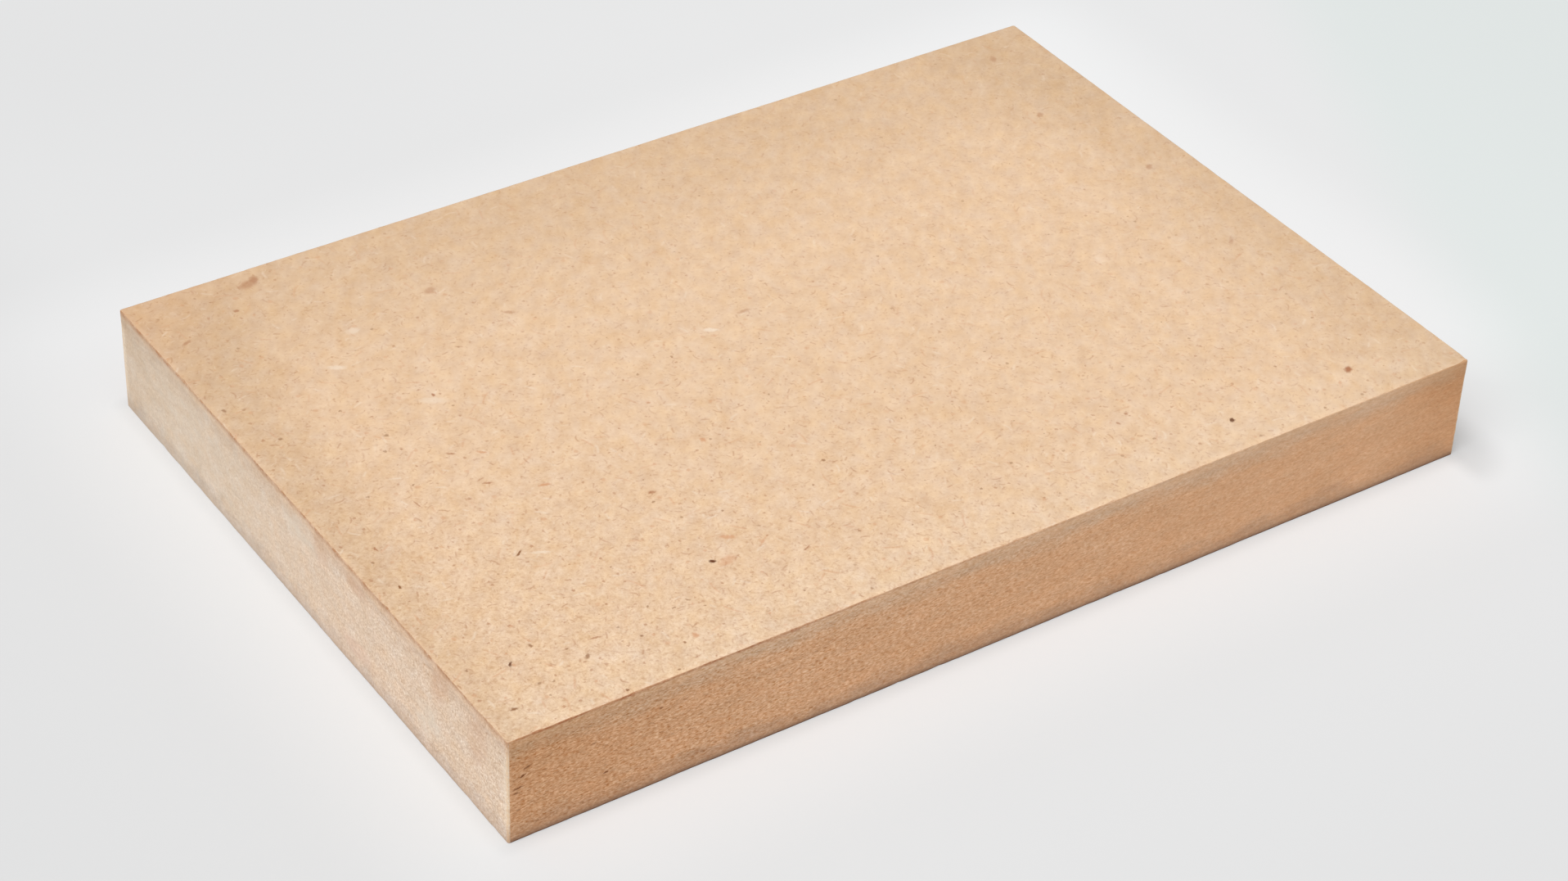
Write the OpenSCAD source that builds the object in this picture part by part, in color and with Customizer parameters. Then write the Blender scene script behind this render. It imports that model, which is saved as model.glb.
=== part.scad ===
// Medium density fibreboard: one sawn piece of plain sanded board, lying flat.
// The origin is the middle of the bottom face. +X runs along the length, +Y across
// the width and +Z up through the thickness.

/* [Board] */
// Length of the board, along X
board_length = 170; // [60:1:400]
// Width of the board, along Y
board_width = 117; // [40:1:300]
// Thickness of the board, from sanded face to sanded face
board_thickness = 18; // [6:0.5:40]

/* [Edges] */
// Flat rubbed on each arris where a sanded face meets a sawn edge, measured along the face
arris_ease = 0.3; // [0.1:0.05:1.5]
// Flat rubbed on each upright corner where two sawn edges meet, measured along the edge
corner_ease = 0.4; // [0.1:0.05:2]

/* [Hidden] */
// The pale tan of pressed and sanded fibreboard
board_tan = [0.86, 0.74, 0.58];

// A rectangle about the origin with each corner cut back by the same amount.
module eased_rectangle(across, up, ease) {
    x = across / 2;
    y = up / 2;
    polygon([
        [x - ease, -y], [x, -y + ease],
        [x, y - ease], [x - ease, y],
        [-x + ease, y], [-x, y - ease],
        [-x, -y + ease], [-x + ease, -y]
    ]);
}

// The outline seen from above, which eases the four upright corners.
module plan_outline() {
    linear_extrude(board_thickness, center = true)
        eased_rectangle(board_length, board_width, corner_ease);
}

// The section across the width, which eases the four long arrises.
module cross_section() {
    rotate([90, 0, 90])
        linear_extrude(board_length, center = true)
            eased_rectangle(board_width, board_thickness, arris_ease);
}

// The section along the length, which eases the four short arrises.
module long_section() {
    rotate([90, 0, 0])
        linear_extrude(board_width, center = true)
            eased_rectangle(board_length, board_thickness, arris_ease);
}

// The board: what the outline and both sections have in common, stood on Z = 0.
module board() {
    color(board_tan)
        translate([0, 0, board_thickness / 2])
            intersection() {
                plan_outline();
                cross_section();
                long_section();
            }
}

board();
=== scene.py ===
"""A sawn piece of medium density fibreboard, lying flat on a pale studio floor."""

import math

import bpy
import numpy as np
from mathutils import Matrix, Vector
from mathutils.geometry import delaunay_2d_cdt


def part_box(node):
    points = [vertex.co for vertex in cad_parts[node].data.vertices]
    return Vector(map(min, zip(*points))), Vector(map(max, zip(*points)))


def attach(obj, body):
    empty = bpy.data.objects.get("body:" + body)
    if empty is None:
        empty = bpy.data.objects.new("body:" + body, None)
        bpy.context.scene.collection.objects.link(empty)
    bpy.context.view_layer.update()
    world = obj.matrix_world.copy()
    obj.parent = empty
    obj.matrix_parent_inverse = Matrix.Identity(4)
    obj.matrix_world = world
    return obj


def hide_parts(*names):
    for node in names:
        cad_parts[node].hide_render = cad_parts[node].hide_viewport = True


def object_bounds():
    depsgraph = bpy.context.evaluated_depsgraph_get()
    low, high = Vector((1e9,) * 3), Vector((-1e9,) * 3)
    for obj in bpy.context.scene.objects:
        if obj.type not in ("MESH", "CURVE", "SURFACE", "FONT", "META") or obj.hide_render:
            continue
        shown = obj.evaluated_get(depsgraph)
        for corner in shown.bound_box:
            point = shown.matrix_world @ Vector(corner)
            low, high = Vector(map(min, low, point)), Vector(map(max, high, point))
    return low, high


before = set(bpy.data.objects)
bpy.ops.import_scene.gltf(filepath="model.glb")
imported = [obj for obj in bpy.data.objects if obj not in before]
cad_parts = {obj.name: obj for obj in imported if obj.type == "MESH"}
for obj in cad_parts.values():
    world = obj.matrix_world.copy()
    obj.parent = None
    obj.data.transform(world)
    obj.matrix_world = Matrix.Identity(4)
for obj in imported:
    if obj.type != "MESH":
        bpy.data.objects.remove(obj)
cad_low, cad_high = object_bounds()

# ------------------------------------------------------------------------------------
# The board: wood fibre and resin, pressed hot into one hard sheet, sanded on both
# faces and sawn to size. A saw tears the fibres of the core a little and leaves the
# dense skins smooth, and every arris has been rubbed down by hand.
# ------------------------------------------------------------------------------------

MM = 0.001  # all sizes of the board are in millimetres until its mesh is made

board_low, board_high = (np.array(corner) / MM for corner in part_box("board"))
half_length, half_width, _ = (board_high - board_low) / 2
thickness = board_high[2] - board_low[2]

column_pitch = 0.47  # spacing of the mesh round the edges
row_pitch = 0.275  # spacing of the mesh up the edges
corner_steps = 4  # mesh columns round an upright corner
arris_steps = 4  # mesh rows round an arris
upright_corner = 0.35  # radius of an upright corner, between two sawn edges
skin_depth = 2.0  # how far in from each face the board is pressed hardest
usual_wear = 0.14  # how far an arris is rubbed down
nicks = 14  # thrown all round the arrises of each face, and kept on the near sides
knock = (half_length, -half_width)  # the corner whose top has taken a knock
knock_depth = 0.4
knock_reach = 1.3
far_way = (0.58, 0.82)  # the way across the board from its near corner to the far one

random = np.random.default_rng(18)


def walk_round_outline():
    """Once round the board seen from above, from its front right corner: the places and
    outward directions of the mesh columns, which of them are in a rounded corner, and
    the columns where each straight starts."""
    x, y = half_length - upright_corner, half_width - upright_corner
    centres = np.array([(x, -y), (x, y), (-x, y), (-x, -y)])
    places, outwards, rounded, straights = [], [], [], []
    for quarter, centre in enumerate(centres):
        for step in range(corner_steps + 1):
            angle = math.pi / 2 * (quarter - 1 + step / corner_steps)
            outward = np.array([math.cos(angle), math.sin(angle)])
            places.append(centre + upright_corner * outward)
            outwards.append(outward)
            rounded.append(True)
        start = places[-1]
        run = centres[(quarter + 1) % 4] + upright_corner * outwards[-1] - start
        steps = round(np.linalg.norm(run) / column_pitch)
        straights.append(len(places) - 1)
        places += [start + run * step / steps for step in range(1, steps)]
        outwards += [outwards[-1]] * (steps - 1)
        rounded += [False] * (steps - 1)
    return np.array(places), np.array(outwards), np.array(rounded), straights


places, outwards, rounded, straights = walk_round_outline()
columns = len(places)
steps_round = np.linalg.norm(np.roll(places, -1, axis=0) - places, axis=1)
distance_round = np.concatenate([[0], np.cumsum(steps_round)])
side_rows = round(thickness / row_pitch)
rows = side_rows + 2 * arris_steps + 1


def roughness_of(shape, pitches, sizes):
    """Random bumps of about these sizes over a grid of this shape, with a spread of 1."""
    bumps = random.standard_normal(shape)
    for axis, (pitch, size) in enumerate(zip(pitches, sizes)):
        waves = np.fft.fftfreq(shape[axis], pitch)
        soften = np.exp(-2 * (math.pi * waves * size / 2.5) ** 2)
        soften = soften.reshape([-1 if a == axis else 1 for a in range(len(shape))])
        bumps = np.fft.ifft(np.fft.fft(bumps, axis=axis) * soften, axis=axis).real
    return bumps / bumps.std()


def worn_arris(knocked):
    """How far the arris is rubbed down in each column, with a few small nicks."""
    wear = usual_wear + 0.02 * roughness_of([columns], [column_pitch], [5.0])
    wear = wear + 0.02 * roughness_of([columns], [column_pitch], [0.9])
    for nick in random.integers(0, columns, nicks):
        if places[nick] @ far_way > 0:
            continue  # the far arrises were not knocked
        apart = np.abs((np.arange(columns) - nick + columns / 2) % columns - columns / 2)
        reach = random.uniform(0.4, 0.9)
        wear = wear + random.uniform(0.10, 0.24) * np.exp(-((apart * column_pitch / reach) ** 2))
    if knocked:
        apart = np.linalg.norm(places - np.array(knock), axis=1)
        wear = wear + knock_depth * np.exp(-((apart / knock_reach) ** 2))
    return np.clip(wear, 0.09, np.where(rounded, 0.8 * upright_corner, 0.7))


def sawn_relief():
    """How deep each point of the edges lies below the saw's plane: fibres torn and pulled
    out of the core, saw marks, and the slow wander of the cut."""
    def bumps(along, up):
        return roughness_of([columns, rows], [column_pitch, row_pitch], [along, up])

    height = np.linspace(0, thickness, rows)
    from_face = np.minimum(height, thickness - height)
    core = np.clip((from_face - 0.5) / skin_depth, 0, 1) ** 2
    torn = 0.030 * bumps(1.6, 0.55) + 0.024 * bumps(3.2, 1.0)
    pulled_out = 0.09 * np.clip(bumps(1.5, 0.6) - 1.5, 0, None)
    saw_marks = 0.012 * roughness_of([columns, 1], [column_pitch, row_pitch], [1.6, 1.0])
    wander = 0.02 * bumps(14.0, 9.0)
    rough_end = np.interp(places @ far_way, [-70.0, 40.0], [1.0, 0.4])
    wear_and_highlight = np.where(rounded, 0.3, rough_end)[:, None]
    depth = 0.035 + wear_and_highlight * (torn * (0.3 + 0.7 * core) + pulled_out * core + saw_marks) + wander
    return np.clip(depth, 0, 0.5)


def edge_grid():
    """The points of the edges and their arrises, column by column from the bottom face
    to the top face, and each point's height measured along the surface."""
    wear_below, wear_above = worn_arris(False), worn_arris(True)
    depth = sawn_relief()
    points = np.empty((columns, rows, 3))
    along_surface = np.empty((columns, rows))
    for row in range(rows):
        if row < arris_steps:
            turn = math.pi / 2 * row / arris_steps
            inset = wear_below * (1 - math.sin(turn))
            height = wear_below * (1 - math.cos(turn))
            measured = wear_below * (1 + turn - math.pi / 2)
        elif row > rows - 1 - arris_steps:
            turn = math.pi / 2 * (rows - 1 - row) / arris_steps
            inset = wear_above * (1 - math.sin(turn))
            height = thickness - wear_above * (1 - math.cos(turn))
            measured = thickness - wear_above * (1 + turn - math.pi / 2)
        else:
            turn = math.pi / 2
            share = (row - arris_steps) / side_rows
            inset = np.zeros(columns)
            height = wear_below + share * (thickness - wear_below - wear_above)
            measured = height
        inset = inset + depth[:, row] * math.sin(turn)
        points[:, row, :2] = places - outwards * inset[:, None]
        points[:, row, 2] = height
        along_surface[:, row] = measured
    return points, along_surface


def fill_face(rim):
    """Flat triangles inside a rim, fine along it and coarse in the middle. Returns the
    points inside and the triangles, which count the rim's points first."""
    inside = []
    rings = ((1.1, 1.0), (2.6, 2.0), (6.0, 4.0), (12.0, 8.0))  # distance in, spacing of points
    for inset, pitch in rings:
        x, y = half_length - inset, half_width - inset
        across, up = round(2 * x / pitch), round(2 * y / pitch)
        for side in (-1, 1):
            inside += [(side * x, -y + 2 * y * k / up) for k in range(up)]
        for side in (-1, 1):
            inside += [(-x + 2 * x * (k + 0.5) / across, side * y) for k in range(across)]
    middle_inset = 20
    x, y = half_length - middle_inset, half_width - middle_inset
    inside += [(x * i / 6, y * j / 4) for i in range(-6, 7) for j in range(-4, 5)]
    flat = [Vector(p) for p in rim] + [Vector(p) for p in inside]
    made = delaunay_2d_cdt(flat, [], [list(range(len(rim)))], 1, 1e-7)
    came_from = [min(old) for old in made[3]]
    return np.array(inside), [[came_from[v] for v in triangle] for triangle in made[2]]


def build_board():
    """The whole board as one closed mesh, with its two maps: one in millimetres along
    the surface for the fibres to lie on, and one that lays the surface out flat."""
    grid, along_surface = edge_grid()
    grid[:, :, 2] += board_low[2]
    vertices = list(grid.reshape(-1, 3))
    faces, slots, smooth = [], [], []
    surface, layout = [], []

    gap = 0.8  # between the pieces of the flat layout
    margin = 0.6  # on each side of an edge's strip
    strip = thickness + 2 * margin
    span = 4 * half_width + 3 * gap

    def lay_out(points):
        return [((x + gap) / span, (y + gap) / span) for x, y in points]

    # The edges, a strip at a time. The short ones take the rounded corners with them.
    first_column = [0, straights[1], straights[2] - corner_steps, straights[3]]
    last_column = [straights[1], straights[2] - corner_steps, straights[3], columns]
    strip_slots = [SHORT_EDGE, LONG_EDGE, SHORT_EDGE, LONG_EDGE]
    strip_corners = [
        (2 * half_length + gap + 2 * strip, 0.0),
        (2 * half_length + gap, 0.0),
        (2 * half_length + gap + 2 * strip, 2 * half_width + 2 * gap),
        (2 * half_length + gap + strip, 0.0),
    ]
    for first, last, slot, (left, foot) in zip(first_column, last_column, strip_slots, strip_corners):
        start = distance_round[first]
        for column in range(first, last):
            after = (column + 1) % columns
            ahead = distance_round[column + 1]
            here = distance_round[column]
            for row in range(rows - 1):
                ring = [(column, row), (after, row), (after, row + 1), (column, row + 1)]
                faces.append([c * rows + r for c, r in ring])
                slots.append(slot)
                smooth.append(True)
                heights = [along_surface[c, r] for c, r in ring]
                rounds = [here, ahead, ahead, here]
                surface += list(zip(rounds, heights))
                layout += lay_out(
                    [(left + margin + h, foot + d - start) for h, d in zip(heights, rounds)]
                )

    # The two sanded faces. The lower one is shifted on the map of fibres, to have its own.
    for row, shift, top in ((rows - 1, 0.0, True), (0, 500.0, False)):
        inside, triangles = fill_face(grid[:, row, :2])
        level = board_high[2] if top else board_low[2]
        base = len(vertices)
        vertices += [(x, y, level) for x, y in inside]
        flat = np.concatenate([grid[:, row, :2], inside])
        for triangle in triangles:
            a, b, c = (flat[v] for v in triangle)
            turns_left = np.cross(b - a, c - a) > 0
            ordered = triangle if turns_left == top else triangle[::-1]
            faces.append([v * rows + row if v < columns else base + v - columns for v in ordered])
            slots.append(SANDED_FACE)
            smooth.append(False)
            surface += [(flat[v][0] + shift, flat[v][1]) for v in ordered]
            foot = half_width if top else 3 * half_width + gap
            layout += lay_out([(flat[v][0] + half_length, flat[v][1] + foot) for v in ordered])

    mesh = bpy.data.meshes.new("fibreboard")
    mesh.from_pydata([Vector(v) * MM for v in vertices], [], faces)
    mesh.polygons.foreach_set("material_index", slots)
    mesh.polygons.foreach_set("use_smooth", smooth)
    for name, corners in (("surface_mm", surface), ("OFBake", layout)):
        flat_map = mesh.uv_layers.new(name=name)
        flat_map.uv.foreach_set("vector", np.array(corners, np.float32).ravel())
    mesh.validate()
    return mesh


SANDED_FACE, LONG_EDGE, SHORT_EDGE = range(3)  # the board's finishes, in slot order
board = bpy.data.objects.new("fibreboard", build_board())
bpy.context.scene.collection.objects.link(board)
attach(board, "root")
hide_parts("board")


# ------------------------------------------------------------------------------------
# What the finishes share: the felted pulp, loose fibres, specks and stains. Each is a
# group of nodes that works in millimetres along the board's surface.
# ------------------------------------------------------------------------------------


def srgb(red, green, blue):
    """A paint colour given as 0 to 255, as the linear colour that a shader takes."""
    shares = [c / 255 for c in (red, green, blue)]
    return (*(c / 12.92 if c <= 0.04045 else ((c + 0.055) / 1.055) ** 2.4 for c in shares), 1.0)


def feed(tree, socket, value):
    """Sets an input to a plain value, or joins the output of another node to it."""
    if isinstance(value, bpy.types.NodeSocket):
        tree.links.new(value, socket)
    else:
        socket.default_value = value


def add(tree, kind, inputs=None, **settings):
    """A new node, with its inputs fed."""
    made = tree.nodes.new(kind)
    for name, value in settings.items():
        setattr(made, name, value)
    for socket, value in (inputs or {}).items():
        feed(tree, made.inputs[socket], value)
    return made


def maths(tree, operation, first, second=0.0, third=0.0):
    return add(tree, "ShaderNodeMath", {0: first, 1: second, 2: third}, operation=operation).outputs[0]


def times(tree, value, *others):
    for other in others:
        value = maths(tree, "MULTIPLY", value, other)
    return value


def vectors(tree, operation, first, second=(0.0, 0.0, 0.0), third=(0.0, 0.0, 0.0)):
    inputs = {0: first, 1: second, 2: third}
    return add(tree, "ShaderNodeVectorMath", inputs, operation=operation).outputs[0]


def ramp(tree, value, start, end, low=0.0, high=1.0):
    """Turns smoothly from low to high as the value goes from start to end."""
    inputs = {"Value": value, "From Min": start, "From Max": end, "To Min": low, "To Max": high}
    return add(tree, "ShaderNodeMapRange", inputs, interpolation_type="SMOOTHSTEP").outputs[0]


def stain(tree, colour, share, pigment):
    """Lays a second colour over the first, by a share from 0 to 1."""
    inputs = {0: share, 6: colour, 7: pigment}
    return add(tree, "ShaderNodeMix", inputs, data_type="RGBA", clamp_factor=True).outputs[2]


def vary(tree, colour, cloud, reds, greens, blues):
    """Makes a colour lighter and darker with a cloud, by these parts of its own strength."""
    gain = vectors(tree, "MULTIPLY_ADD", cloud, (reds, greens, blues), (1.0, 1.0, 1.0))
    return vectors(tree, "MULTIPLY", colour, gain)


def seeded(tree, place, seed):
    """Moves to another part of the endless pattern, so that no two layers repeat."""
    return vectors(tree, "MULTIPLY_ADD", seed, (17.31, 9.73, 0.0), place)


def ragged_place(tree, place, scale, detail, reach):
    """Shifts each place a little, so that the marks laid there get uneven rims."""
    shift = {"Vector": place, "Scale": scale, "Detail": detail, "Roughness": 0.7}
    shift = add(tree, "ShaderNodeTexNoise", shift, noise_dimensions="2D").outputs[1]
    shift = vectors(tree, "SUBTRACT", shift, (0.5, 0.5, 0.5))
    return vectors(tree, "MULTIPLY_ADD", shift, reach, place)


def start_group(name, inputs, outputs):
    """An empty node group: its tree, the outputs of its input node, and its end node."""
    tree = bpy.data.node_groups.new(name, "ShaderNodeTree")
    for label in inputs:
        kind = "NodeSocketVector" if label in ("Place", "Centre") else "NodeSocketFloat"
        tree.interface.new_socket(label, in_out="INPUT", socket_type=kind)
    for label in outputs:
        tree.interface.new_socket(label, in_out="OUTPUT", socket_type="NodeSocketFloat")
    return tree, tree.nodes.new("NodeGroupInput").outputs, tree.nodes.new("NodeGroupOutput").inputs


def make_clouds():
    """Soft patches, from -1 to 1, that can be drawn out sideways."""
    tree, given, out = start_group("clouds", ["Place", "Size", "Stretch", "Detail", "Seed"], ["Cloud"])
    long_way = times(tree, given["Size"], given["Stretch"])
    sizes = add(tree, "ShaderNodeCombineXYZ", {0: long_way, 1: given["Size"], 2: 1.0}).outputs[0]
    place = seeded(tree, vectors(tree, "DIVIDE", given["Place"], sizes), given["Seed"])
    inputs = {"Vector": place, "Scale": 1.0, "Detail": given["Detail"], "Roughness": 0.65}
    patch = add(tree, "ShaderNodeTexNoise", inputs, noise_dimensions="2D").outputs[0]
    feed(tree, out["Cloud"], maths(tree, "MULTIPLY_ADD", patch, 4.0, -2.0))
    return tree


def make_felt():
    """Fine fibres lying across one another in every direction, from -1 to 1."""
    tree, given, out = start_group("felted_fibres", ["Place", "Length", "Width", "Seed"], ["Felt"])
    bent = {"Vector": given["Place"], "Scale": 0.9, "Detail": 0.0}
    bent = add(tree, "ShaderNodeTexNoise", bent, noise_dimensions="2D").outputs[1]
    bent = vectors(tree, "MULTIPLY_ADD", bent, (0.6, 0.6, 0.0), given["Place"])
    sizes = add(tree, "ShaderNodeCombineXYZ", {0: given["Length"], 1: given["Width"], 2: 1.0}).outputs[0]
    felt = -2.0
    for turn in (0.3, 1.35, 2.4):
        way = {"Vector": bent, "Angle": turn}
        way = add(tree, "ShaderNodeVectorRotate", way, rotation_type="Z_AXIS").outputs[0]
        place = seeded(tree, vectors(tree, "DIVIDE", way, sizes), given["Seed"])
        inputs = {"Vector": place, "Scale": 1.0, "Detail": 1.0, "Roughness": 0.6}
        strand = add(tree, "ShaderNodeTexNoise", inputs, noise_dimensions="2D").outputs[0]
        felt = maths(tree, "MULTIPLY_ADD", strand, 4.0 / 3.0, felt)
    darker = times(tree, felt, felt, -0.45)
    feed(tree, out["Felt"], maths(tree, "ADD", felt, darker))
    return tree


def make_fibres():
    """A scatter of single curved fibres. Each grows from the middle of its own cell."""
    inputs = ["Place", "Spacing", "Length", "Width", "Spread", "Bend", "Share", "Seed"]
    tree, given, out = start_group("scattered_fibres", inputs, ["Mark"])
    spacing = given["Spacing"]
    place = seeded(tree, vectors(tree, "DIVIDE", given["Place"], spacing), given["Seed"])
    cells = add(tree, "ShaderNodeTexVoronoi", {"Vector": place, "Scale": 1.0}, voronoi_dimensions="2D")
    from_middle = vectors(tree, "SUBTRACT", place, cells.outputs["Position"])
    from_middle = vectors(tree, "MULTIPLY", from_middle, spacing)
    chance = add(tree, "ShaderNodeSeparateColor", {0: cells.outputs["Color"]}).outputs
    turn = times(tree, maths(tree, "SUBTRACT", chance[0], 0.5), given["Spread"])
    turned = {"Vector": from_middle, "Angle": turn}
    turned = add(tree, "ShaderNodeVectorRotate", turned, rotation_type="Z_AXIS").outputs[0]
    local = add(tree, "ShaderNodeSeparateXYZ", {0: turned}).outputs
    curve = times(tree, given["Bend"], maths(tree, "SUBTRACT", chance[1], 0.5))
    squared = times(tree, local[0], local[0])
    sideways = maths(tree, "MULTIPLY_ADD", squared, curve, local[1])
    reach = times(tree, given["Length"], ramp(tree, chance[1], 0.0, 1.0, 0.25, 0.55))
    tail = times(tree, reach, 0.5)
    along = ramp(tree, maths(tree, "ABSOLUTE", local[0]), tail, reach, 1.0, 0.0)
    across = ramp(tree, maths(tree, "ABSOLUTE", sideways), 0.0, given["Width"], 1.0, 0.0)
    chosen = ramp(tree, chance[2], 0.0, given["Share"], 1.0, 0.0)
    feed(tree, out["Mark"], times(tree, along, across, chosen))
    return tree


def make_specks():
    """Small uneven specks of bark, in a share of the cells."""
    tree, given, out = start_group("specks", ["Place", "Spacing", "Radius", "Share", "Seed"], ["Mark"])
    spacing = given["Spacing"]
    place = seeded(tree, vectors(tree, "DIVIDE", given["Place"], spacing), given["Seed"])
    cells = add(tree, "ShaderNodeTexVoronoi", {"Vector": place, "Scale": 1.0}, voronoi_dimensions="2D")
    chance = add(tree, "ShaderNodeSeparateColor", {0: cells.outputs["Color"]}).outputs
    reach = times(tree, given["Radius"], ramp(tree, chance[1], 0.0, 1.0, 0.5, 1.0))
    away = times(tree, cells.outputs["Distance"], spacing)
    spot = ramp(tree, away, times(tree, reach, 0.4), reach, 1.0, 0.0)
    chosen = ramp(tree, chance[0], 0.0, given["Share"], 1.0, 0.0)
    feed(tree, out["Mark"], times(tree, spot, chosen))
    return tree


def make_fleck():
    """One soft oval mark at a chosen place, joined to the marks made before it. A shader can
    hold only some 250 values at once, so each mark is made to wait for the last one."""
    inputs = ["Place", "Centre", "Length", "Width", "Turn", "Share", "Before"]
    tree, given, out = start_group("fleck", inputs, ["Mark"])
    waited = vectors(tree, "MULTIPLY_ADD", given["Before"], (1e-5, 0.0, 0.0), given["Place"])
    sizes = add(tree, "ShaderNodeCombineXYZ", {0: given["Length"], 1: given["Width"], 2: 1.0}).outputs[0]
    turn = add(tree, "ShaderNodeCombineXYZ", {2: given["Turn"]}).outputs[0]
    inputs = {"Vector": waited, "Location": given["Centre"], "Rotation": turn, "Scale": sizes}
    local = add(tree, "ShaderNodeMapping", inputs, vector_type="TEXTURE").outputs[0]
    away = add(tree, "ShaderNodeVectorMath", {0: local}, operation="LENGTH").outputs["Value"]
    mark = ramp(tree, away, 0.22, 0.68, given["Share"], 0.0)
    feed(tree, out["Mark"], maths(tree, "MAXIMUM", mark, given["Before"]))
    return tree


CLOUDS = make_clouds()
FELT = make_felt()
FIBRES = make_fibres()
SPECKS = make_specks()
FLECK = make_fleck()


def shared(tree, group, **values):
    """Puts a shared group in a material, with that material's own values."""
    made = add(tree, "ShaderNodeGroup", node_tree=group)
    for label, value in values.items():
        feed(tree, made.inputs[label], value)
    return made.outputs[0]


def start_material(name):
    """A material: its tree, its shader, the place on the surface and the place in the
    board, both in millimetres."""
    material = bpy.data.materials.new(name)
    material.use_nodes = True
    board.data.materials.append(material)
    tree = material.node_tree
    surface = add(tree, "ShaderNodeUVMap", uv_map="surface_mm").outputs[0]
    in_metres = add(tree, "ShaderNodeTexCoord").outputs["Object"]
    in_mm = vectors(tree, "DIVIDE", in_metres, (MM, MM, MM))
    in_board = add(tree, "ShaderNodeSeparateXYZ", {0: in_mm}).outputs
    return tree, tree.nodes["Principled BSDF"], surface, in_board


def relief(tree, shader, height, depth_mm):
    """Fine relief, too fine for the mesh."""
    bump = add(tree, "ShaderNodeBump", {"Strength": 1.0, "Distance": depth_mm * MM, "Height": height})
    feed(tree, shader.inputs["Normal"], bump.outputs[0])


# ------------------------------------------------------------------------------------
# The sanded faces: fine pale pulp, ground smooth by a wide belt. Short fibres show in
# it, a little darker or paler than the rest, with specks of bark and a few larger flecks.
# ------------------------------------------------------------------------------------

face_tan = srgb(236, 202, 167)
face_deep_tan = srgb(218, 185, 150)
face_brown = srgb(168, 102, 62)
face_cream = srgb(252, 234, 212)
face_rust = srgb(212, 148, 104)
cork_brown = srgb(142, 90, 48)
bark_brown = srgb(102, 54, 20)

tree, shader, place, (x, y, _) = start_material("sanded_face")

# The face is a deeper tan towards the back and both ends, and browner in the left corner.
# It is a little paler along the front, with a painted highlight on the rim of the two near sides.
margin = ramp(tree, maths(tree, "MULTIPLY_ADD", y, -0.1, x), -70.0, -84.0, 0.0, 0.75)
margin = maths(tree, "ADD", margin, ramp(tree, x, 58.0, 88.0, 0.0, 0.8))
margin = maths(tree, "ADD", margin, ramp(tree, y, 15.0, 60.0, 0.0, 0.75))
margin = maths(tree, "ADD", margin, ramp(tree, y, -52.0, -60.0, 0.0, 0.2))
colour = stain(tree, face_tan, margin, face_deep_tan)
colour = vary(tree, colour, ramp(tree, y, -44.0, -54.0), 0.02, 0.04, 0.06)
left_side = times(tree, ramp(tree, x, -45.0, -72.0), ramp(tree, y, -30.0, 0.0, 0.0, -1.0))
colour = vary(tree, colour, left_side, 0.005, 0.01, 0.015)
rim_highlight = maths(tree, "MAXIMUM", ramp(tree, y, -57.2, -58.0), ramp(tree, x, -84.0, -84.6))
colour = vary(tree, colour, rim_highlight, 0.05, 0.04, 0.04)
left_corner = ramp(tree, maths(tree, "SUBTRACT", y, x), 112.0, 142.0, 0.0, -1.0)
colour = vary(tree, colour, left_corner, -0.02, 0.025, 0.055)

# The felt stands out by the near corner and is ground smoother towards the far one.
to_far_corner = maths(tree, "MULTIPLY_ADD", x, far_way[0], times(tree, y, far_way[1]))
plain = ramp(tree, to_far_corner, -90.0, -5.0, 1.0, 0.05)
soft = ramp(tree, to_far_corner, -85.0, 70.0, 1.0, 0.50)
fine_felt = shared(tree, FELT, Place=place, Length=0.6, Width=0.22, Seed=1.0)
fine_felt = times(tree, fine_felt, plain)
colour = vary(tree, colour, fine_felt, 0.11, 0.16, 0.21)
coarse_felt = shared(tree, FELT, Place=place, Length=1.3, Width=0.5, Seed=2.0)
coarse_felt = times(tree, coarse_felt, maths(tree, "MULTIPLY_ADD", plain, 0.80, 0.22))
colour = vary(tree, colour, coarse_felt, 0.12, 0.17, 0.225)

# Soft clouds of paler and darker pulp, drawn out a little towards the far corner.
turned = {"Vector": place, "Angle": math.radians(-55.0)}
turned = add(tree, "ShaderNodeVectorRotate", turned, rotation_type="Z_AXIS").outputs[0]
mottled = ramp(tree, to_far_corner, -60.0, 50.0, 1.0, 0.85)
cloud = shared(tree, CLOUDS, Place=turned, Size=2.2, Stretch=1.5, Detail=2.5, Seed=3.0)
colour = vary(tree, colour, times(tree, cloud, mottled), 0.055, 0.085, 0.115)
cloud = shared(tree, CLOUDS, Place=turned, Size=2.6, Stretch=1.5, Detail=1.0, Seed=4.0)
colour = vary(tree, colour, cloud, 0.015, -0.002, -0.047)
cloud = shared(tree, CLOUDS, Place=turned, Size=6.0, Stretch=1.4, Detail=2.0, Seed=5.0)
colour = vary(tree, colour, cloud, 0.030, 0.044, 0.064)

# Single fibres, from crowded short ones to a few long ones.
for spacing, length, width, bend, strength, pigment, seed in (
    (1.0, 0.8, 0.18, 0.5, 0.26, face_brown, 1),
    (1.9, 1.3, 0.21, 0.9, 0.33, face_brown, 2),
    (4.4, 1.9, 0.24, 0.9, 0.45, face_brown, 3),
    (5.5, 4.0, 0.30, 0.3, 0.36, face_rust, 4),
    (1.3, 1.0, 0.17, 0.5, 0.25, face_cream, 11),
    (4.6, 2.4, 0.32, 0.4, 0.40, face_cream, 12),
):
    fibres = shared(tree, FIBRES, Place=place, Spacing=spacing, Length=length, Width=width,
                    Spread=2 * math.pi, Bend=bend, Share=0.9, Seed=seed)
    colour = stain(tree, colour, times(tree, fibres, soft, strength), pigment)

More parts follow.
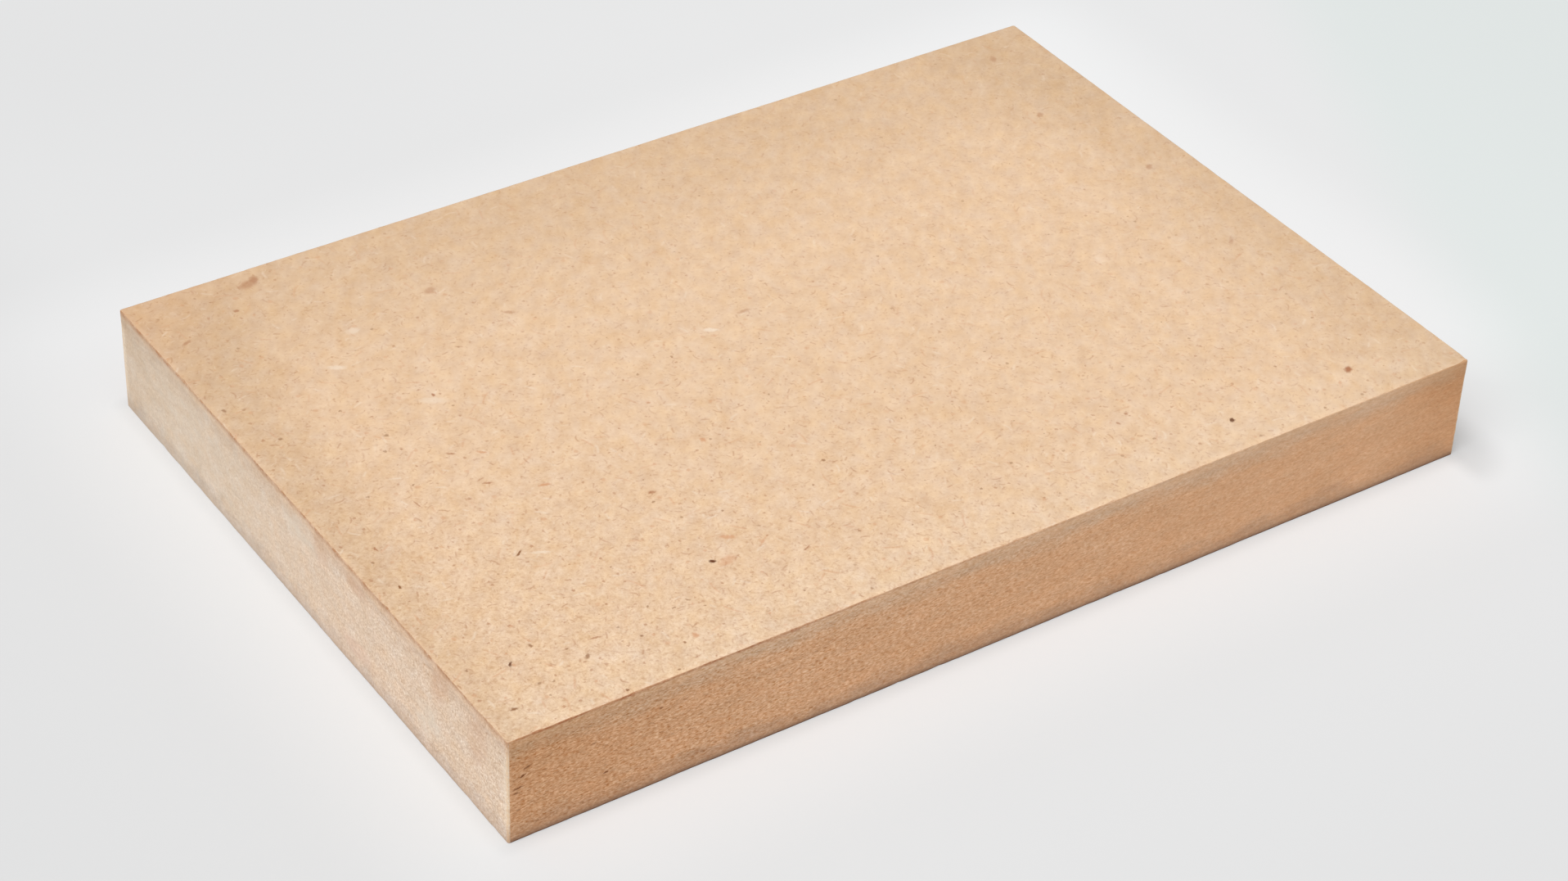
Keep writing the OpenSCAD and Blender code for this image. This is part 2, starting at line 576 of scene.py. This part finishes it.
# Specks of bark.
ragged = ragged_place(tree, place, 1.6, 2.0, (0.5, 0.5, 0.0))
for spacing, radius, part, strength, pigment, seed in (
    (1.3, 0.34, 0.7, 0.24, face_brown, 24),
    (2.3, 0.34, 0.5, 0.52, face_brown, 21),
    (7.0, 0.36, 0.8, 0.62, cork_brown, 22),
    (4.0, 0.55, 0.7, 0.4, face_rust, 23),
):
    specks = shared(tree, SPECKS, Place=ragged, Spacing=spacing, Radius=radius, Share=part, Seed=seed)
    colour = stain(tree, colour, times(tree, specks, soft, strength), pigment)

# The larger flecks of the top face. Those of one colour are joined, then laid over it.
flecked = {}
for x_mm, y_mm, length, width, turn, strength, pigment in (
    (-65.1, 54.7, 3.6, 2.0, 18, 0.48, face_brown),  # the big soft one by the left corner
    (-63.9, 55.3, 2.2, 1.6, 56, 0.60, face_brown),
    (-41.9, 38.9, 2.2, 1.6, 24, 0.36, face_brown),
    (-3.2, 9.4, 2.3, 0.8, 178, 0.36, face_brown),
    (67.3, -50.8, 1.8, 1.1, 45, 0.85, face_brown),
    (43.7, -51.8, 1.2, 0.8, 59, 0.90, bark_brown),
    (-40.9, -40.1, 1.05, 0.8, 150, 1.00, bark_brown),
    (-63.2, -24.5, 1.6, 0.38, 33, 0.90, cork_brown),
    (-81.1, -22.5, 0.8, 0.45, 86, 0.95, cork_brown),
    (-66.6, -48.7, 1.2, 0.65, 48, 0.70, cork_brown),
    (-76.4, -44.7, 1.3, 0.4, 60, 0.90, bark_brown),
    (-80.7, -53.0, 1.2, 0.6, 176, 0.85, cork_brown),
    (75.0, 51.0, 2.0, 1.2, 61, 0.35, face_brown),
    (71.0, 32.3, 1.8, 1.1, 50, 0.38, face_brown),
    (76.8, 10.2, 1.8, 1.1, 45, 0.38, face_brown),
    (74.5, -13.9, 2.8, 0.8, 50, 0.25, face_brown),
    (31.0, -42.3, 0.8, 0.6, 44, 0.60, face_brown),
    (28.5, -43.7, 0.8, 0.5, 98, 0.50, face_brown),
    (-14.2, -28.6, 0.7, 0.5, 53, 0.65, cork_brown),
    (-54.9, 14.7, 0.8, 0.6, 83, 0.75, face_brown),
    (-10.8, 6.2, 1.3, 0.7, 150, 0.30, face_rust),
    (-55.6, 13.5, 4.8, 1.6, 149, 0.35, face_cream),
    (-10.3, 7.7, 2.4, 1.0, 150, 0.60, face_cream),
    (-60.4, -25.9, 3.0, 0.7, 156, 0.50, face_cream),
    (-79.9, -13.3, 1.2, 0.35, 98, 0.70, face_brown),
    (-59.9, 0.7, 1.4, 0.45, 150, 0.65, face_brown),
    (-58.8, -8.1, 1.6, 0.4, 157, 0.65, face_brown),
    (-52.0, -12.7, 1.8, 0.5, 165, 0.70, face_rust),
    (-39.7, -22.2, 1.2, 0.7, 170, 0.60, face_brown),
    (-26.6, -15.3, 1.2, 0.8, 100, 0.65, face_rust),
    (-36.1, -36.5, 2.4, 1.0, 150, 0.60, face_rust),
    (-39.0, -41.0, 3.2, 1.8, 20, 0.42, face_rust),
    (-51.7, -52.5, 1.2, 1.0, 90, 0.60, face_rust),
    (-63.7, -45.9, 2.2, 0.35, 172, 0.60, face_brown),
    (-72.1, -42.8, 0.8, 0.45, 90, 0.70, cork_brown),
    (-27.7, -44.4, 1.6, 0.3, 22, 0.60, face_brown),
    (-69.9, -7.3, 2.2, 0.3, 98, 0.50, face_brown),
    (-34.4, 27.6, 1.8, 0.8, 150, 0.40, face_brown),
    (-80.1, 45.4, 1.8, 0.7, 20, 0.45, face_brown),
    (-69.9, 49.1, 0.9, 0.9, 0, 0.60, face_brown),
    (-57.2, 35.4, 2.4, 1.6, 0, 0.38, face_cream),
    (-63.9, 28.2, 3.0, 1.2, 150, 0.45, face_cream),
    (-65.7, 9.4, 0.8, 0.6, 0, 0.60, cork_brown),
    (-55.8, -1.3, 1.6, 0.6, 140, 0.60, face_rust),
    (-79.3, 16.5, 0.7, 0.6, 0, 0.60, cork_brown),
    (-83.2, 27.0, 0.9, 0.6, 98, 0.60, cork_brown),
    (-65.7, -57.5, 0.55, 0.45, 0, 0.80, cork_brown),
    (-57.5, -57.5, 0.55, 0.4, 0, 0.65, cork_brown),
    (-58.0, -48.8, 0.7, 0.45, 150, 0.70, cork_brown),
    (-51.1, -46.0, 0.7, 0.35, 160, 0.60, cork_brown),
    (-48.4, -45.5, 0.8, 0.35, 130, 0.55, cork_brown),
    (-75.1, -50.2, 0.7, 0.5, 30, 0.60, cork_brown),
    (-73.2, -50.8, 0.5, 0.4, 0, 0.55, cork_brown),
    (-50.5, -50.6, 1.3, 0.3, 20, 0.50, face_brown),
):
    before = flecked.get(pigment, 0.0)
    flecked[pigment] = shared(tree, FLECK, Place=ragged, Centre=(x_mm, y_mm, 0.0), Length=length,
                              Width=width, Turn=math.radians(turn), Share=strength, Before=before)
for pigment, marks in flecked.items():
    colour = stain(tree, colour, marks, pigment)

feed(tree, shader.inputs["Base Color"], colour)
feed(tree, shader.inputs["Roughness"], ramp(tree, coarse_felt, -1.0, 1.0, 0.66, 0.82))
shader.inputs["Specular IOR Level"].default_value = 0.3
relief(tree, shader, fine_felt, 0.012)

# ------------------------------------------------------------------------------------
# The sawn edges: the same pulp cut through. The long ones were ripped and are rougher,
# the short ones were cut across with a finer blade. Their colours are painted light: the
# long ones are a deeper orange brown and the short ones paler and greyer, for the warmer
# and cooler light that falls on the two sides.
# ------------------------------------------------------------------------------------

# The colours of the painted contact shade at the foot of the edges.
foot_shade_brown = srgb(142, 108, 86)
contact_shade_brown = srgb(84, 56, 38)


def sawn_edge(name, long, core, skin, foot, dark, light, corner, wear_and_highlight, corner_sheen_share,
              arris, arris_width, arris_top, foot_shade_share, neutral, tints, hues,
              torn_from, torn_by, grain, stretch, dash, strength, marked):
    """A sawn edge. Its colours run from the core to the skin above and the foot below, and
    neutral says how much green and blue change beside red. The fibres are torn by these
    two amounts at the two places along the edge, in grains drawn out sideways by the
    stretch, and the marked places are torn or smudged most."""
    tree, shader, place, (x, y, z) = start_material(name)
    along, outward, reach = (x, y, half_width) if long else (y, x, half_length)
    in_front = ramp(tree, outward, 0.5 - reach, 1.5 - reach, 1.0, 0.0)
    red, green, blue = neutral
    drawn = 0.6 + 0.5 * stretch
    wavy = shared(tree, CLOUDS, Place=place, Size=3.0, Stretch=stretch, Detail=2.0, Seed=31.0)
    jagged = shared(tree, CLOUDS, Place=place, Size=0.5, Stretch=1.0, Detail=2.0, Seed=35.0)
    from_top = maths(tree, "SUBTRACT", thickness, z)
    uneven = maths(tree, "MULTIPLY_ADD", wavy, 1.2, times(tree, jagged, 0.3))
    colour = stain(tree, skin, ramp(tree, maths(tree, "ADD", uneven, from_top), 0.8, 4.6), core)
    colour = stain(tree, colour, ramp(tree, maths(tree, "ADD", uneven, z), 0.2, 4.5, 1.0, 0.0), foot)

    # The edges are darker towards the two far corners, and a little towards the near one.
    shade = ramp(tree, x, 66.0, 87.0, 0.0, -1.0)
    shade = maths(tree, "ADD", shade, ramp(tree, y, 36.0, 62.0, 0.0, -0.7))
    near_end = ramp(tree, x, -40.0, -87.0, 0.0, -0.8 if long else 0.0)
    shade = times(tree, maths(tree, "ADD", shade, near_end), ramp(tree, z, 6.0, 17.0, 0.8, 1.5))
    colour = vary(tree, colour, shade, 0.11 * red, 0.11 * green, 0.11 * blue)

    # The skin just below the top face is polished paler, and the back is greyer.
    polished = ramp(tree, maths(tree, "MULTIPLY_ADD", jagged, 0.2, from_top), 1.7, 0.9)
    colour = vary(tree, colour, polished, 0.075, 0.06, 0.03)
    greyed = ramp(tree, y, -25.0, 45.0, 0.0, -1.0)
    colour = vary(tree, colour, greyed, 0.075, 0.025, 0.0)

    # Soft patches: paler and darker, then warmer and cooler.
    patches = shared(tree, CLOUDS, Place=place, Size=5.0, Stretch=drawn, Detail=3.0, Seed=34.0)
    colour = vary(tree, colour, patches, 0.04, 0.052, 0.07)
    tint = shared(tree, CLOUDS, Place=place, Size=2.7, Stretch=drawn, Detail=2.0, Seed=36.0)
    colour = vary(tree, colour, tint, *tints)
    tint = shared(tree, CLOUDS, Place=place, Size=2.6, Stretch=drawn, Detail=2.0, Seed=37.0)
    colour = vary(tree, colour, tint, *hues)

    # The saw leaves crumbs, pits and fibres standing up, fewer of them in the dense skins.
    from_face = maths(tree, "MINIMUM", from_top, z)
    rough = ramp(tree, along, *torn_from, *torn_by)
    rough = times(tree, rough, ramp(tree, from_face, 0.4, 3.0, 0.65, 1.0))
    ragged = ragged_place(tree, place, 2.2, 1.0, (0.35, 0.25, 0.0))
    lumps = shared(tree, CLOUDS, Place=ragged, Size=2 * grain, Stretch=stretch, Detail=1.0, Seed=32.0)
    grains = shared(tree, CLOUDS, Place=ragged, Size=grain, Stretch=stretch, Detail=1.0, Seed=33.0)
    lumps = times(tree, lumps, maths(tree, "MULTIPLY_ADD", rough, 0.45, 0.35))
    torn = maths(tree, "MULTIPLY_ADD", grains, times(tree, rough, 1.75), lumps)
    # Painted shade and highlight: besides the fibres' own colour, the colour follows the torn relief,
    # darker in its pits and paler on the crumbs that stand up.
    gain = 0.16 * strength
    colour = vary(tree, colour, torn, gain * red, gain * green, gain * blue)
    for spacing, length, width, share, height, pigment, seed in (
        (0.8, 0.8, 0.18, 0.42, -0.8, dark, 41),
        (1.8, 1.2, 0.20, 0.70, -1.2, dark, 42),
        (0.8, 0.8, 0.16, 0.26, 0.6, light, 43),
        (2.0, 1.3, 0.16, 0.38, 0.8, light, 44),
    ):
        marks = shared(tree, FIBRES, Place=ragged, Spacing=spacing, Length=dash * length, Width=width,
                       Spread=1.0, Bend=0.4, Share=0.9, Seed=seed)
        marks = times(tree, marks, rough)
        colour = stain(tree, colour, times(tree, marks, share * strength), pigment)
        torn = maths(tree, "MULTIPLY_ADD", marks, height, torn)
    on_side = add(tree, "ShaderNodeCombineXYZ", {0: along, 1: z}).outputs[0]
    on_side = vectors(tree, "ADD", vectors(tree, "SUBTRACT", ragged, place), on_side)
    patchy = maths(tree, "MULTIPLY_ADD", tint, 0.5, 1.0)
    for along_mm, z_mm, length, width, turn, share, height, pigment in marked:
        mark = shared(tree, FLECK, Place=on_side, Centre=(along_mm, z_mm, 0.0), Length=length,
                      Width=width, Turn=math.radians(turn), Share=1.0, Before=0.0)
        mark = times(tree, mark, in_front, patchy)
        colour = stain(tree, colour, times(tree, mark, share), pigment)
        torn = maths(tree, "MULTIPLY_ADD", mark, height, torn)

    # The upright corners are rounded and carry a painted highlight, a pale strip up the
    # corner that turns to the arris brown near the two faces.
    corner_sheen = ramp(tree, from_face, 1.5, 4.5, 0.0, corner_sheen_share)
    from_end = maths(tree, "SUBTRACT", half_length, maths(tree, "ABSOLUTE", x))
    from_side = maths(tree, "SUBTRACT", half_width, maths(tree, "ABSOLUTE", y))
    from_corner = maths(tree, "MAXIMUM", from_end, from_side)
    from_corner = maths(tree, "MULTIPLY_ADD", jagged, 0.4, from_corner)
    corner_sheen = times(tree, corner_sheen, ramp(tree, from_corner, 0.6, 1.6, 1.0, 0.0))
    colour = stain(tree, colour, corner_sheen, light)
    corner = stain(tree, corner, ramp(tree, from_face, 0.5, 3.5, 0.5, 0.0), arris)
    colour = stain(tree, colour, ramp(tree, from_corner, 0.10, 0.55, wear_and_highlight, 0.0), corner)

    # The top arris is brown, most of all by the near corner. The foot has painted contact
    # shade: darker up to about a millimetre, with a dark line at the very bottom.
    ragged_top = maths(tree, "MULTIPLY_ADD", jagged, 0.25, from_top)
    ragged_top = maths(tree, "MULTIPLY_ADD", wavy, 0.3, ragged_top)
    browned = ramp(tree, ragged_top, 0.1, arris_width, 0.55, 0.0)
    browned = maths(tree, "MAXIMUM", browned, ramp(tree, from_top, 0.15, 0.42, 0.85, 0.0))
    browned = times(tree, browned, ramp(tree, from_top, 0.05, 0.3, arris_top, 1.0))
    browned = times(tree, browned, maths(tree, "MULTIPLY_ADD", jagged, 0.5, 1.0))
    browned = times(tree, browned, maths(tree, "MULTIPLY_ADD", tint, 0.6, 1.0))
    browned = times(tree, browned, ramp(tree, x, -80.0, 60.0, 1.0, 0.0))
    colour = stain(tree, colour, browned, arris)
    foot_shade = ramp(tree, maths(tree, "MULTIPLY_ADD", jagged, 0.15, z), 0.2, 1.1, foot_shade_share, 0.0)
    foot_shade = times(tree, foot_shade, ramp(tree, y, 0.0, 40.0, 1.0, 0.2))
    colour = stain(tree, colour, foot_shade, foot_shade_brown)
    contact_shade_line = ramp(tree, z, 0.1, 0.35, foot_shade_share, 0.0)
    contact_shade_line = times(tree, contact_shade_line, ramp(tree, y, 0.0, 40.0, 1.0, 0.0))
    colour = stain(tree, colour, contact_shade_line, contact_shade_brown)

    feed(tree, shader.inputs["Base Color"], colour)
    feed(tree, shader.inputs["Roughness"], ramp(tree, lumps, -1.0, 1.0, 0.78, 0.92))
    shader.inputs["Specular IOR Level"].default_value = 0.25
    relief(tree, shader, torn, 0.004)


# The clefts torn in the long edge by its near end are painted dark brown, which is painted shade in
# them; they are also sunk into the relief.
# Each mark: its place along the edge and up it, length, width, turn, share, height, colour.
cleft_shade_brown = srgb(134, 82, 44)
long_edge_clefts = (
    (-83.4, 9.3, 1.6, 0.36, 6, 0.85, -4.0, cleft_shade_brown),
    (-83.6, 8.5, 1.1, 0.3, 0, 0.85, -4.0, cleft_shade_brown),
    (-81.9, 12.4, 1.3, 0.36, 10, 0.85, -4.0, cleft_shade_brown),
    (-82.6, 11.2, 1.1, 0.3, 15, 0.85, -4.0, cleft_shade_brown),
    (-83.4, 5.4, 1.0, 0.3, 0, 0.85, -4.0, cleft_shade_brown),
    (-71.5, 11.8, 0.9, 0.32, 5, 0.85, -4.0, cleft_shade_brown),
    (-60.9, 13.4, 0.7, 0.35, 0, 0.85, -4.0, cleft_shade_brown),
    (-69.6, 5.8, 0.8, 0.3, 10, 0.85, -4.0, cleft_shade_brown),
)
smudge_brown = srgb(206, 160, 126)
smudge_pink = srgb(214, 178, 158)
smudge_pale = srgb(226, 214, 198)
short_edge_smudges = (
    (-6.2, 14.7, 5.0, 6.0, 0, 0.25, 0.0, smudge_brown),
    (-40.3, 15.0, 4.5, 8.5, 20, 0.38, 0.0, smudge_brown),
    (-50.5, 12.5, 5.5, 10.0, 10, 0.28, 0.0, smudge_brown),
    (-16.5, 15.5, 6.0, 3.0, 0, 0.35, 0.0, smudge_brown),
    (-16.5, 4.0, 9.0, 3.0, 0, 0.40, 0.0, smudge_pink),
    (-37.0, 6.0, 7.0, 6.0, 0, 0.40, 0.0, smudge_pale),
    (0.5, 14.0, 10.0, 5.0, 0, 0.35, 0.0, smudge_pale),
)
sawn_edge(
    "long_sawn_edge", long=True,
    core=srgb(224, 175, 134), skin=srgb(216, 179, 146), foot=srgb(199, 159, 127),
    dark=srgb(150, 96, 50), light=srgb(255, 210, 172),
    corner=srgb(238, 196, 154), wear_and_highlight=0.4, corner_sheen_share=0.0,
    arris=srgb(174, 110, 72), arris_width=0.5, arris_top=0.6, foot_shade_share=0.7,
    neutral=(1.0, 1.7, 2.5), tints=(0.02, 0.032, 0.05), hues=(-0.017, 0.008, 0.032),
    torn_from=(-85.0, 80.0), torn_by=(1.3, 0.36),
    grain=0.22, stretch=3.0, dash=1.0, strength=0.6, marked=long_edge_clefts,
)
sawn_edge(
    "short_sawn_edge", long=False,
    core=srgb(229, 204, 180), skin=srgb(218, 190, 165), foot=srgb(209, 187, 168),
    dark=srgb(160, 116, 80), light=srgb(252, 234, 210),
    corner=srgb(232, 200, 164), wear_and_highlight=0.8, corner_sheen_share=0.4,
    arris=srgb(183, 136, 100), arris_width=1.2, arris_top=0.75, foot_shade_share=0.15,
    neutral=(1.0, 1.35, 1.7), tints=(0.018, 0.045, 0.085), hues=(-0.015, 0.004, 0.024),
    torn_from=(-58.0, 40.0), torn_by=(1.35, 0.4),
    grain=0.3, stretch=1.2, dash=0.8, strength=0.46, marked=short_edge_smudges,
)

# ------------------------------------------------------------------------------------
# The studio: a wide pale floor that also fills the background, one large soft lamp
# high on the left and even light from all round.
# ------------------------------------------------------------------------------------

floor_grey = srgb(231, 231, 231)

floor_mesh = bpy.data.meshes.new("studio_floor")
floor_mesh.from_pydata([(-6, -6, 0), (6, -6, 0), (6, 6, 0), (-6, 6, 0)], [], [(0, 1, 2, 3)])
floor = bpy.data.objects.new("studio_floor", floor_mesh)
floor.location.z = cad_low.z
bpy.context.scene.collection.objects.link(floor)
paper = bpy.data.materials.new("studio_paper")
paper.use_nodes = True
floor_mesh.materials.append(paper)
tree = paper.node_tree
tree.nodes.clear()
lit = add(tree, "ShaderNodeBsdfDiffuse", {"Color": floor_grey}).outputs[0]
in_studio = add(tree, "ShaderNodeTexCoord").outputs["Object"]


def away_from(low, high):
    """How far a place on the floor lies outside a flat box."""
    outside = vectors(tree, "MAXIMUM", vectors(tree, "SUBTRACT", low, in_studio),
                      vectors(tree, "SUBTRACT", in_studio, high))
    outside = vectors(tree, "MAXIMUM", outside, (0.0, 0.0, 0.0))
    return add(tree, "ShaderNodeVectorMath", {0: outside}, operation="LENGTH").outputs["Value"]


# The floor takes the lamp's light and the board's shadow. To the camera it also has a
# tone of its own, with painted light and shade in it: a painted glow round the board
# that fades farther out and is paler to the back right, a painted dark line of shade at
# the board's foot, painted shadow deeper at its right end, darker far to the left, and
# a little green on the right.
foot_low = (-half_length * MM, -half_width * MM, 0.0)
foot_high = (half_length * MM, half_width * MM, 0.0)
glow_low = (-half_length * MM, -0.030, 0.0)
glow_high = (half_length * MM + 0.018, half_width * MM + 0.018, 0.0)
from_board = away_from(foot_low, foot_high)
from_glow = maths(tree, "MINIMUM", from_board, away_from(glow_low, glow_high))
x_m, y_m, _ = add(tree, "ShaderNodeSeparateXYZ", {0: in_studio}).outputs
glow_and_shade = ramp(tree, from_glow, 0.0, 0.025, 1.19, 1.0)
glow_and_shade = times(tree, glow_and_shade, ramp(tree, from_glow, 0.015, 0.09, 1.0, 0.92))
glow_and_shade = times(tree, glow_and_shade, ramp(tree, from_board, 0.0, 0.003, 0.85, 1.0))
glow_and_shade = times(tree, glow_and_shade, ramp(tree, x_m, -0.070, -0.095, 1.0, 0.92))
to_back_right = maths(tree, "MULTIPLY_ADD", y_m, 0.6, x_m)
glow_and_shade = times(tree, glow_and_shade, ramp(tree, to_back_right, 0.03, 0.12, 1.0, 1.05))
in_shadow = times(tree, ramp(tree, from_board, 0.003, 0.010, 0.34, 0.0),
                  ramp(tree, x_m, 0.082, 0.086, 0.0, 1.0))
glow_and_shade = times(tree, glow_and_shade, maths(tree, "SUBTRACT", 1.0, in_shadow))
to_green = ramp(tree, maths(tree, "MULTIPLY_ADD", y_m, -0.42, x_m), 0.115, 0.140)
even_grey = stain(tree, srgb(232, 233, 234), to_green, srgb(218, 231, 228))
even = add(tree, "ShaderNodeEmission", {"Color": even_grey, "Strength": glow_and_shade}).outputs[0]
seen = times(tree, add(tree, "ShaderNodeLightPath").outputs["Is Camera Ray"], 0.4)
both = add(tree, "ShaderNodeMixShader", {0: seen, 1: lit, 2: even}).outputs[0]
add(tree, "ShaderNodeOutputMaterial", {0: both})

key_light = bpy.data.lights.new("softbox", "SUN")
key_light.energy = 2.0
key_light.angle = math.radians(40)
key = bpy.data.objects.new("softbox", key_light)
towards_lamp = Vector((-0.31, -0.11, 0.55))
key.rotation_euler = towards_lamp.to_track_quat("Z", "Y").to_euler()
bpy.context.scene.collection.objects.link(key)

world = bpy.data.worlds.new("studio")
world.use_nodes = True
bpy.context.scene.world = world
tree = world.node_tree
tree.nodes.clear()
path = add(tree, "ShaderNodeLightPath").outputs
seen = maths(tree, "MAXIMUM", maths(tree, "MAXIMUM", path["Is Camera Ray"], path["Is Glossy Ray"]),
             path["Is Transmission Ray"])
light = add(tree, "ShaderNodeBackground", {"Color": (1, 1, 1, 1), "Strength": 0.45})
backdrop = add(tree, "ShaderNodeBackground", {"Color": floor_grey, "Strength": 1.0})
both = add(tree, "ShaderNodeMixShader", {0: seen, 1: light.outputs[0], 2: backdrop.outputs[0]})
add(tree, "ShaderNodeOutputWorld", {0: both.outputs[0]})

# ------------------------------------------------------------------------------------
# The camera: a short telephoto, held a little askew. It looks down on the board from
# beyond its front left corner.
# ------------------------------------------------------------------------------------

aim = Vector((-0.0095, -0.0117, 0.009))
distance = 0.5583
turn_left, look_down, tilt = (math.radians(a) for a in (35.19, 36.57, 2.50))

lens = bpy.data.cameras.new("camera")
lens.lens = 84.92
lens.sensor_width = 36
camera = bpy.data.objects.new("camera", lens)
facing = (
    Matrix.Rotation(-turn_left, 4, "Z")
    @ Matrix.Rotation(math.pi / 2 - look_down, 4, "X")
    @ Matrix.Rotation(tilt, 4, "Z")
)
camera.matrix_world = Matrix.Translation(aim) @ facing @ Matrix.Translation((0, 0, distance))
bpy.context.scene.collection.objects.link(camera)
bpy.context.scene.camera = camera
bpy.context.scene.view_settings.view_transform = "Standard"
